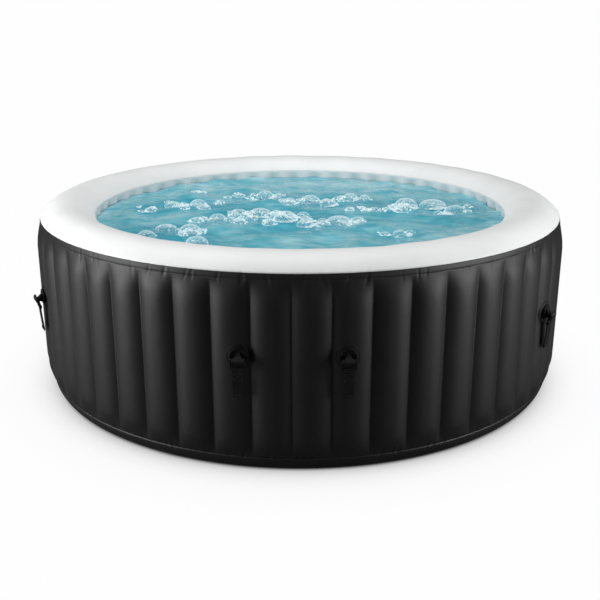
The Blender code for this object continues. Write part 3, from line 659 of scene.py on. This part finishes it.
def dome(centre, width, height, columns=32, rows=10):
    """One air bubble's film: a flattened half ball that stands on the water, closed below."""
    angle = np.linspace(0.02, pi / 2, rows)
    radius = np.concatenate([np.sin(angle), [0.6, 0.02]])[:, None] * width / 2
    up = np.concatenate([np.cos(angle), [-0.02, -0.02]])[:, None] * height
    points = polar(radius, np.linspace(0, tau, columns, endpoint=False)[None, :], up)
    return points + np.array(centre)


def foam_ring(centre, width, girth):
    """The thin uneven bead of froth round the foot of a bubble, open at one place."""
    turn = np.linspace(0, 0.995 * tau, 36)[:, None]
    around = np.linspace(0, tau, 6, endpoint=False)[None, :]
    girth = girth * (0.75 + 0.25 * np.sin(3 * turn + 40 * centre[0]) + 0.2 * np.sin(7 * turn))
    radius = width / 2 + girth * np.cos(around)
    return polar(radius, turn, girth * np.sin(around)) + np.array(centre)


# Rafts of bubbles: centre (x, y), half spreads, width of the largest bubble, number of bubbles
RAFTS = [
    (-0.52, 0.17, 0.05, 0.05, 0.075, 4), (-0.60, 0.06, 0.05, 0.04, 0.050, 4),
    (-0.42, 0.14, 0.07, 0.06, 0.070, 5), (-0.46, 0.41, 0.02, 0.02, 0.036, 2),
    (-0.27, 0.35, 0.04, 0.04, 0.045, 4), (-0.15, 0.33, 0.05, 0.03, 0.080, 5),
    (-0.50, -0.26, 0.02, 0.02, 0.082, 2), (-0.40, -0.35, 0.03, 0.04, 0.086, 4),
    (-0.36, -0.49, 0.02, 0.02, 0.084, 2), (-0.55, -0.40, 0.03, 0.03, 0.072, 2),
    (-0.31, -0.12, 0.07, 0.03, 0.070, 6), (-0.17, -0.03, 0.07, 0.04, 0.095, 9),
    (-0.05, -0.14, 0.06, 0.05, 0.095, 8), (0.03, -0.13, 0.03, 0.03, 0.108, 5),
    (0.14, -0.16, 0.07, 0.03, 0.105, 7), (0.03, 0.21, 0.08, 0.03, 0.090, 7),
    (0.22, 0.26, 0.05, 0.02, 0.070, 5), (0.29, 0.07, 0.07, 0.03, 0.045, 7),
    (0.43, 0.08, 0.04, 0.05, 0.098, 5), (0.55, 0.13, 0.04, 0.03, 0.115, 5),
    (0.62, 0.04, 0.05, 0.04, 0.095, 5), (0.36, -0.34, 0.04, 0.02, 0.055, 4),
]


def raft_darkening_share(x, y):
    """How much darker the water's colour is there, near the bubble rafts, 0 to 1."""
    total = 0
    for raft_x, raft_y, spread_x, spread_y, width, _ in RAFTS:
        reach_x, reach_y = spread_x + width, spread_y + width
        total = total + np.exp(-((x - raft_x) / reach_x) ** 2 - ((y - raft_y) / reach_y) ** 2)
    return np.minimum(total, 1.0)


def raft_bubbles(rng):
    """(x, y, width) of every bubble; each new one keeps most of itself clear of the others."""
    spots = []
    for x, y, spread_x, spread_y, width, count in RAFTS:
        first = len(spots)
        for _ in range(40 * count):
            if len(spots) - first == count:
                break
            lead = len(spots) == first
            size = width * (1.0 if lead else rng.uniform(0.32, 0.85))
            spread = 0.2 if lead else 1.3
            spot_x = x + rng.uniform(-spread, spread) * spread_x
            spot_y = y + rng.uniform(-spread, spread) * spread_y
            if all(np.hypot(spot_x - a, spot_y - b) > 0.40 * (size + c) for a, b, c in spots):
                spots.append((spot_x, spot_y, size))
    return spots


def add_bubbles(film_material, foam):
    rng = random.Random(31)
    films, beads = [], []
    for x, y, size in raft_bubbles(rng):
        level = WATER_LEVEL + float(ripples(x, y)) - 0.001
        films.append(dome((x, y, level), size, size * rng.uniform(0.22, 0.42)))
        beads.append(foam_ring((x, y, level), size, FOAM_GIRTH))
        for _ in range(rng.randint(8, 16)):
            turn, width = rng.uniform(0, tau), rng.uniform(0.003, 0.011)
            ring = size * rng.uniform(0.44, 0.66)
            spot = (x + ring * cos(turn), y + ring * sin(turn), level)
            beads.append(dome(spot, width, width * rng.uniform(0.4, 0.8), 12, 5))
    add_piece("bubbles", grid_mesh("bubbles", films), film_material)
    add_piece("bubble_foam", grid_mesh("bubble_foam", beads), foam)


# ---------------------------------------------------------------- strap anchors
# Each is made once in its own frame: X along the wall, Y into the tub, Z up.

def anchor_frame(name):
    """World matrix of the frame at the middle of the plate's back."""
    joint = JOINTS[f"buckle_hinge_{name}"]
    along = -Vector(joint["axis"]).normalized()
    into = Vector((0, 0, 1)).cross(along)
    origin = Vector(joint["pos_m"]) + into * EYE_OUT - Vector((0, 0, EYE_UP))
    return Matrix((along, into, (0, 0, 1))).transposed().to_4x4(), origin


def placed(rotation, origin):
    return Matrix.Translation(origin) @ rotation


def swept(outline, stations):
    """Rows along X of a closed (out, up) outline. A station is (x, scale about the middle)."""
    outline = np.array(outline)
    middle = outline.mean(axis=0)
    rows = []
    for x, scale in stations:
        section = middle + (outline - middle) * scale
        rows.append(np.stack([np.full(len(section), x), -section[:, 0], section[:, 1]], axis=-1))
    return np.stack(rows)


def rounded_ends(half, soft):
    """Stations from -half to half, with the section drawn in over soft at both ends."""
    turn = np.linspace(0, pi / 2, 4)
    start = [(-half + soft * (1 - sin(t)), cos(t)) for t in turn[::-1]]
    return start, [(-x, share) for x, share in start[::-1]]


def arc(centre, radius, start, end, count):
    angle = np.linspace(start, end, count)
    if np.isscalar(radius):
        radius = (radius, radius)
    return list(zip(centre[0] + radius[0] * np.cos(angle), centre[1] + radius[1] * np.sin(angle)))


def bar(outline, half, soft, x=0.0):
    """A rod along X with rounded ends."""
    size = np.ptp(np.array(outline), axis=0).min() / 2
    start, end = rounded_ends(half, soft)
    stations = [(x + place, 1 - (1 - share) * min(soft / size, 0.9)) for place, share in start + end]
    return swept(outline, stations)


def plate_parts():
    """Round plate with a raised lip, and the pyramid of a lug that ends in the buckle's eye."""
    profile = [(0.0002, 0.0), (0.0262, 0.0), (0.0270, 0.0008), (0.0270, 0.0032), (0.0264, 0.0041),
               (0.0254, 0.0043), (0.0240, 0.0040), (0.0230, 0.0032), (0.0002, 0.0032)]
    turn = np.linspace(0, tau, 72, endpoint=False)
    disc = [[(-r * cos(a), -out, r * sin(a)) for a in turn] for r, out in profile]
    outline = [(0.0022, -0.0170), (0.0110, -0.0160),
               *arc((EYE_OUT, EYE_UP), EYE_RADIUS, radians(-105), radians(105), 18),
               (0.0150, -0.0010), (0.0090, 0.0050), (0.0045, 0.0120), (0.0022, LUG_PEAK_UP)]
    start, end = rounded_ends(1.0, 0.10)
    lug = swept(outline, start + [(-0.5, 1), (0, 1), (0.5, 1)] + end)
    rise = np.clip(lug[..., 2] / LUG_PEAK_UP, 0, 1)
    taper = np.clip(-lug[..., 1] / EYE_OUT, 0, 1)
    width = LUG_FOOT_HALF_WIDTH + (LUG_EYE_HALF_WIDTH - LUG_FOOT_HALF_WIDTH) * taper
    lug[..., 0] *= width + (LUG_PEAK_HALF_WIDTH - width) * rise
    return [np.array(disc), lug]


def ellipse(inset, start, end, count):
    """An (out, up) arc inside the outline of the buckle's grip cover."""
    return arc((0, 0), (COVER_DEPTH - inset, COVER_HALF_HEIGHT - inset), start, end, count)


def buckle_parts():
    """A curved grip cover with upright ribs, two cheeks with legs, the pin and the strap's bar."""
    half, ribs = 0.0195, 7
    outside = np.array(ellipse(0, radians(-82), radians(82), 27))
    inside = np.array(ellipse(COVER_WALL, radians(80), radians(-80), 21))
    outward = outside / np.linalg.norm(outside, axis=1)[:, None]
    grip = np.clip(1.25 * np.cos(np.linspace(-1, 1, len(outside)) * radians(82)), 0, 1)[:, None]
    rows = []
    for x in np.linspace(-half, half, 127):
        ridge = (0.5 + 0.5 * cos(tau * (ribs * x / (2 * half) + 0.5))) ** 0.7
        front = outside + outward * grip * (0.0013 * ridge - 0.0007)
        outline = np.concatenate([front, inside])
        rows.append(np.stack([np.full(len(outline), x), -outline[:, 0], outline[:, 1]], axis=-1))
    leg = LEG_HALF_DEPTH
    cheek = [(-0.0022, 0.0108), (-leg, 0.0070), (-leg, -0.0100)]
    cheek += arc((0, -BUCKLE_LOWER_REACH), leg, -pi, 0, 14)
    cheek += [(leg, -0.0150), (0.0036, -0.0125)]
    cheek += ellipse(0.0003, radians(-50), radians(95), 20)
    parts = [np.array(rows)]
    for x in (-CHEEK_MIDDLE, CHEEK_MIDDLE):
        parts.append(bar(cheek, 0.0020, 0.0008, x))
    for up in (0, -BUCKLE_LOWER_REACH):
        parts.append(bar(arc((0, up), PIN_RADIUS, 0, tau * 23 / 24, 24), COVER_HALF_WIDTH, 0.0003))
    return parts


def smooth_path(points, step):
    """Points every step along a smooth curve through the given (out, up) points."""
    points = np.array(points)
    run = np.concatenate([[0], np.cumsum(np.linalg.norm(np.diff(points, axis=0), axis=1))])
    slope = np.gradient(points, run, axis=0)
    places = np.linspace(0, run[-1], int(run[-1] / step))
    spot = np.clip(np.searchsorted(run, places, side="right") - 1, 0, len(run) - 2)
    width = run[spot + 1] - run[spot]
    t = ((places - run[spot]) / width)[:, None]
    width = width[:, None]
    return ((2 * t ** 3 - 3 * t ** 2 + 1) * points[spot] + (t ** 3 - 2 * t ** 2 + t) * width * slope[spot]
            + (3 * t ** 2 - 2 * t ** 3) * points[spot + 1] + (t ** 3 - t ** 2) * width * slope[spot + 1])


def strap_lean(up):
    """How far the tail swings in towards the wall at that height."""
    return -STRAP_LEAN * np.clip(-up / STRAP_LENGTH, 0, 1) ** 1.3


def webbing_grid():
    """One length of webbing: hem, front ply, loop over the bar, and back ply."""
    end = -STRAP_LENGTH
    path = [
        (0.0026, end + 0.012), (0.0026, end + 0.006), (0.0025, end + 0.0022), (0.0018, end + 0.0006),
        (0.0011, end + 0.0022), (0.0009, end + 0.010), (0.0008, end + 0.030), (0.0008, -0.050),
        (0.0008, -0.030), (0.0009, -0.014), (0.0016, -0.0090), (0.0036, -0.0045),
        *arc((0, 0), 0.0042, radians(0), radians(180), 9),
        (-0.0036, -0.0045), (-0.0016, -0.0090), (-0.0009, -0.014), (-0.0008, -0.030),
        (-0.0008, -0.050), (-0.0008, end + 0.020), (-0.0008, end + 0.006),
    ]
    line = smooth_path(path, 0.0012)
    line[:, 0] += strap_lean(line[:, 1])
    ahead = np.gradient(line, axis=0)
    ahead /= np.linalg.norm(ahead, axis=1)[:, None]
    side = np.stack([-ahead[:, 1], ahead[:, 0]], axis=-1)
    half, thick = STRAP_HALF_WIDTH, 0.00075
    section = []
    for face in (1, -1):
        for t in np.linspace(-pi / 2, pi / 2, 5):
            section.append((face * (thick - half - thick * cos(t)), face * thick * sin(t)))
        for x in np.linspace(-0.016, 0.016, 17) * face:
            section.append((x, face * thick * (0.90 + 0.10 * cos(tau * x / 0.0052))))
    rows = []
    for (out, up), (side_out, side_up) in zip(line, side):
        rows.append([(x, -(out + lift * side_out), up + lift * side_up) for x, lift in section])
    return np.array(rows)


def stitch(start, end, lift):
    """One thread stitch from (x, up) to (x, up), which dips into the webbing at both ends."""
    start, end = np.array(start), np.array(end)
    turn = np.linspace(tau, 0, 6, endpoint=False)
    way = (end - start) / np.linalg.norm(end - start)
    across = np.array([-way[1], way[0]])
    rows = []
    for t in np.linspace(0, 1, 6):
        spot = start + (end - start) * t
        height = lift + 0.0004 * sin(pi * t) - 0.0002
        girth = THREAD_RADIUS * (0.45 + 0.55 * sin(pi * min(max(t, 0.12), 0.88)))
        ring = []
        for a in turn:
            x, up = spot + across * girth * cos(a)
            ring.append((x, -(height + girth * sin(a) + strap_lean(up)), up))
        rows.append(ring)
    return np.array(rows)


def stitch_line(start, end, lift):
    start, end = np.array(start), np.array(end)
    count = max(int(np.linalg.norm(end - start) / STITCH_PITCH), 1)
    step = (end - start) / count
    return [stitch(start + step * (i + 0.12), start + step * (i + 0.88), lift) for i in range(count)]


def stitch_parts():
    """Box and cross under the loop, and two rows along the hem."""
    half, high, low, lift = 0.0135, -0.0145, -0.0400, 0.0017
    corners = [(-half, high), (half, high), (half, low), (-half, low)]
    parts = []
    for start, end in zip(corners, corners[1:] + corners[:1]):
        parts += stitch_line(start, end, lift)
    parts += stitch_line(corners[0], corners[2], lift)
    parts += stitch_line(corners[3], corners[1], lift)
    for up in (0.0095, 0.0065):
        parts += stitch_line((-0.0160, -STRAP_LENGTH + up), (0.0160, -STRAP_LENGTH + up), 0.0034)
    return parts


def patch_grid(name):
    """The welded patch, which follows the channels under it, with a pressed weld near its edge."""
    low, high = (Vector(corner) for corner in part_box(f"anchor_patch_{name}"))
    middle = (low + high) / 2
    azimuth = np.arctan2(middle.x, -middle.y)
    turn = np.linspace(0, tau, 96, endpoint=False)[None, :]
    lifts = [(0.0002, 0.0018), (0.0070, 0.0018), (0.0140, 0.0018), (0.0210, 0.0019), (0.0280, 0.0020),
             (0.0318, 0.0019), (0.0330, 0.0013), (0.0342, 0.0012), (0.0354, 0.0019), (0.0372, 0.0021),
             (0.0382, 0.0018), (0.0385, 0.0010), (0.0384, 0.0003), (0.0200, 0.0003), (0.0002, 0.0003)]
    radius = np.array([r for r, _ in lifts])[:, None]
    lift = np.array([up for _, up in lifts])[:, None]
    across, up = radius * np.cos(turn), radius * np.sin(turn)
    around = azimuth + across / CREST_RADIUS
    height = middle.z + up
    return polar(outer_radius(around, height) + lift, around, height)


def add_anchors():
    plate = grid_mesh("anchor_plate", plate_parts(), sharp=radians(40))
    buckle = grid_mesh("buckle", buckle_parts(), sharp=radians(50))
    buckle.transform(Matrix.Rotation(BUCKLE_TILT, 4, "X"))
    webbing = grid_mesh("webbing", [webbing_grid()], sharp=radians(60))
    stitches = grid_mesh("stitches", stitch_parts())
    for name in ANCHORS:
        rotation, origin = anchor_frame(name)
        patch = grid_mesh(f"patch_{name}", [patch_grid(name)])
        add_piece(f"welded_patch_{name}", patch, BLACK_PATCH,
                  stands_for=[f"anchor_patch_{name}"])
        add_piece(f"lug_plate_{name}", plate, BLACK_PLASTIC,
                  stands_for=[f"anchor_plate_{name}"], matrix=placed(rotation, origin))
        pin = JOINTS[f"buckle_hinge_{name}"]["pos_m"]
        add_piece(f"grip_buckle_{name}", buckle, BLACK_PLASTIC, f"buckle_{name}",
                  [f"strap_buckle_{name}"], placed(rotation, pin))
        loop = JOINTS[f"strap_hinge_{name}"]["pos_m"]
        add_piece(f"webbing_{name}", webbing, WEBBING, f"tail_{name}",
                  [f"strap_{name}"], placed(rotation, loop))
        add_piece(f"stitching_{name}", stitches, THREAD, f"tail_{name}",
                  matrix=placed(rotation, loop))


# ---------------------------------------------------------------- ports at the back

def port_frame(node):
    """World matrix of a port's frame: its axis through the middle of a round node's box."""
    low, high = (Vector(corner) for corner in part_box(node))
    middle = (low + high) / 2
    azimuth = np.arctan2(middle.x, -middle.y)
    turn = Matrix.Rotation(azimuth, 4, "Z")
    return turn, turn @ Vector((0, -CREST_RADIUS, 0)) + Vector((0, 0, middle.z))


def softened(profile):
    """The (radius, out) profile with each corner rounded; its two ends stay as they are."""
    steps = 4
    points = [Vector(point) for point in profile]
    made = [points[0]]
    for before, corner, after in zip(points, points[1:], points[2:]):
        near = corner + (before - corner).normalized() * min(FILLET, (before - corner).length * 0.45)
        far = corner + (after - corner).normalized() * min(FILLET, (after - corner).length * 0.45)
        for step in range(steps + 1):
            t = step / steps
            made.append(near * (1 - t) ** 2 + corner * 2 * t * (1 - t) + far * t ** 2)
    made.append(points[-1])
    return made


def revolved(name, profile, segments=72, grips=0, grip_depth=0.0008, closed=False):
    """A turned piece about -Y; grips are ridges on its widest wall."""
    if closed:
        start = (Vector(profile[0]) + Vector(profile[-1])) / 2
        profile = [start, *profile, start]
    profile = softened(profile)
    if closed:
        profile = profile[:-1]
    widest = max(radius for radius, _ in profile)
    turn = np.linspace(0, tau, segments, endpoint=False)
    rows = []
    for radius, out in profile:
        share = np.clip((radius - widest + 0.002) / 0.002, 0, 1)
        ridge = grip_depth * share * (0.5 - 0.5 * np.cos(grips * turn)) if grips else 0
        size = np.maximum(radius - ridge, 0.0002) * np.ones(segments)
        rows.append(np.stack([size * np.cos(turn), np.full(segments, -out), size * np.sin(turn)], -1))
    return grid_mesh(name, [np.array(rows)], "loop" if closed else "caps", radians(35))


def cap_profile(inside, outside, back, front, end):
    """A screw cap: a raised ring and a shallow dish on its face, open towards the wall."""
    return [(0, front - 0.0016), (outside * 0.55, front - 0.0016), (outside * 0.62, front),
            (outside - 0.0022, front), (outside, front - 0.0020), (outside, back + 0.001),
            (outside - 0.0008, back), (inside, back), (inside, front - end), (0, front - end)]


def add_water_port(name):
    turn, origin = port_frame(f"{name}_cap")
    matrix = placed(turn, origin)
    nut = [(0.0310, 0.0106), (0.0325, 0.0090), (0.0340, 0.0030), (0.0340, 0.0006),
           (0.0218, 0.0006), (0.0218, 0.0106)]
    mesh = revolved(f"{name}_nut", nut, segments=192, grips=24, grip_depth=0.0016, closed=True)
    add_piece(f"{name}_ring_nut", mesh, BLACK_PLASTIC, TUB, [f"{name}_nut"], matrix)
    cap = cap_profile(0.0220, 0.0265, 0.0118, 0.0385, 0.004)
    mesh = revolved(f"{name}_cap", cap, segments=240, grips=40)
    add_piece(f"{name}_screw_cap", mesh, BLACK_PLASTIC, f"{name}_cap",
              [f"{name}_cap"], matrix)


def add_air_port():
    turn, origin = port_frame("air_port_cap")
    matrix = placed(turn, origin)
    fitting = [(0.0140, 0.0280), (0.0140, 0.0052), (0.0155, 0.0040), (0.0265, 0.0040), (0.0280, 0.0030),
               (0.0280, 0.0006), (0.0140, 0.0006), (0.0140, -0.0420), (0.0100, -0.0420),
               (0.0100, 0.0280)]
    mesh = revolved("air_port", fitting, closed=True)
    add_piece("air_port_flange", mesh, WHITE_PLASTIC, TUB, ["air_port_fitting"],
              matrix)
    cap = cap_profile(0.0145, 0.0185, 0.0058, 0.0320, 0.0035)
    mesh = revolved("air_cap", cap, segments=216, grips=36)
    add_piece("air_screw_cap", mesh, BLACK_PLASTIC, "air_port_cap",
              ["air_port_cap"], matrix)


def add_drain():
    turn, origin = port_frame("drain_cap")
    mesh = revolved("drain_cap", cap_profile(0.0135, 0.0175, 0.0020, 0.0240, 0.0035),
                    segments=192, grips=32)
    add_piece("drain_screw_cap", mesh, BLACK_PLASTIC, "drain_cap", ["drain_cap"],
              placed(turn, origin))


def block(size, centre):
    """A small moulded block with rounded corners, as (rows, columns, 3) points."""
    x, y, z = (value / 2 for value in size)
    outline = []
    for sign_y, sign_z, start in ((1, 1, 0), (-1, 1, pi / 2), (-1, -1, pi), (1, -1, 3 * pi / 2)):
        corner = (sign_y * (y - FILLET) - centre[1], sign_z * (z - FILLET) + centre[2])
        outline += arc(corner, FILLET, start, start + pi / 2, 4)
    return bar(outline, x, FILLET, centre[0])


def add_inflation_valve():
    turn, origin = port_frame("air_valve_stem")
    matrix = placed(turn, origin)
    body = [(0.0168, 0.0065), (0.0195, 0.0065), (0.0195, 0.0040), (0.0210, 0.0034), (0.0300, 0.0034),
            (0.0310, 0.0026), (0.0310, 0.0006), (0.0195, 0.0006), (0.0195, -0.0300),
            (0.0052, -0.0300), (0.0052, -0.0270), (0.0168, -0.0270)]
    mesh = revolved("valve_body", body, segments=96, closed=True)
    add_piece("valve_flange", mesh, BLACK_PLASTIC, TUB, ["air_valve_body"], matrix)
    hinge = grid_mesh("valve_hinge", [block((0.012, 0.0026, 0.0044), (0, -0.0045, -0.0283))])
    add_piece("valve_hinge_block", hinge, BLACK_PLASTIC, TUB, ["air_valve_body"],
              matrix)
    lid = [(0, 0.0092), (0.0150, 0.0092), (0.0165, 0.0100), (0.0218, 0.0100), (0.0230, 0.0090),
           (0.0230, 0.0070), (0.0163, 0.0070), (0.0163, 0.0030), (0.0148, 0.0030), (0.0148, 0.0070),
           (0, 0.0070)]
    mesh = revolved("valve_lid", lid, segments=192, grips=48, grip_depth=0.0003)
    add_piece("valve_flip_lid", mesh, BLACK_PLASTIC, "air_valve_cap",
              ["air_valve_cap"], matrix)
    leaf = grid_mesh("valve_leaf", [block((0.009, 0.0022, 0.0088), (0, -0.0085, -0.0230))])
    add_piece("valve_hinge_leaf", leaf, BLACK_PLASTIC, "air_valve_cap",
              ["air_valve_cap"], matrix)


# ---------------------------------------------------------------- the whole scene

add_camera()
add_lights()
add_world()
add_floor()

BLACKS = (0.0016, 0.0016, 0.0017), (0.0028, 0.0028, 0.0029)
BLACK_PVC = pvc("black_pvc_skin", *BLACKS, 0.50, 900.0, 0.36)
BLACK_PATCH = pvc("black_patch", *BLACKS, 0.50, 1400.0, 0.22)
WHITE_PVC = pvc("white_pvc_skin", (0.68, 0.69, 0.69), (0.72, 0.725, 0.72), 0.40, 900.0, 0.30)
LINER_PVC = pvc("liner_pvc_skin", (0.70, 0.725, 0.735), (0.74, 0.755, 0.76), 0.36, 900.0, 0.35)
BLACK_PLASTIC = moulded("black_moulding", (0.0035, 0.0035, 0.0037), (0.0065, 0.0065, 0.0068), 0.50)
WHITE_PLASTIC = moulded("white_moulding", (0.74, 0.75, 0.75), (0.80, 0.80, 0.80), 0.35)
WEBBING = webbing_material()
THREAD = thread_material()
WATER = water_material()
BUBBLE_FILM = bubble_material()
FOAM = foam_material()

add_outer_skin(BLACK_PVC)
add_base_skin(BLACK_PVC)
add_rim_skin(WHITE_PVC)
add_inner_skin(LINER_PVC)
add_water(WATER)
add_bubbles(BUBBLE_FILM, FOAM)
add_anchors()
for port in ("water_outlet", "water_inlet"):
    add_water_port(port)
add_air_port()
add_drain()
add_inflation_valve()

NODE_MATERIALS = {
    "black_pvc": BLACK_PVC, "white_pvc": WHITE_PVC, "liner_pvc": LINER_PVC, "web_pvc": WHITE_PVC,
    "black_plastic": BLACK_PLASTIC, "white_plastic": WHITE_PLASTIC, "black_webbing": WEBBING,
}
SLOT_OF = {row["node"]: row["material_slot"] for row in frame["record"]["subparts"]}
for node, obj in frame["nodes"].items():
    for place in obj.material_slots:
        place.material = NODE_MATERIALS[SLOT_OF[node]]

bpy.context.scene.view_settings.view_transform = "Standard"
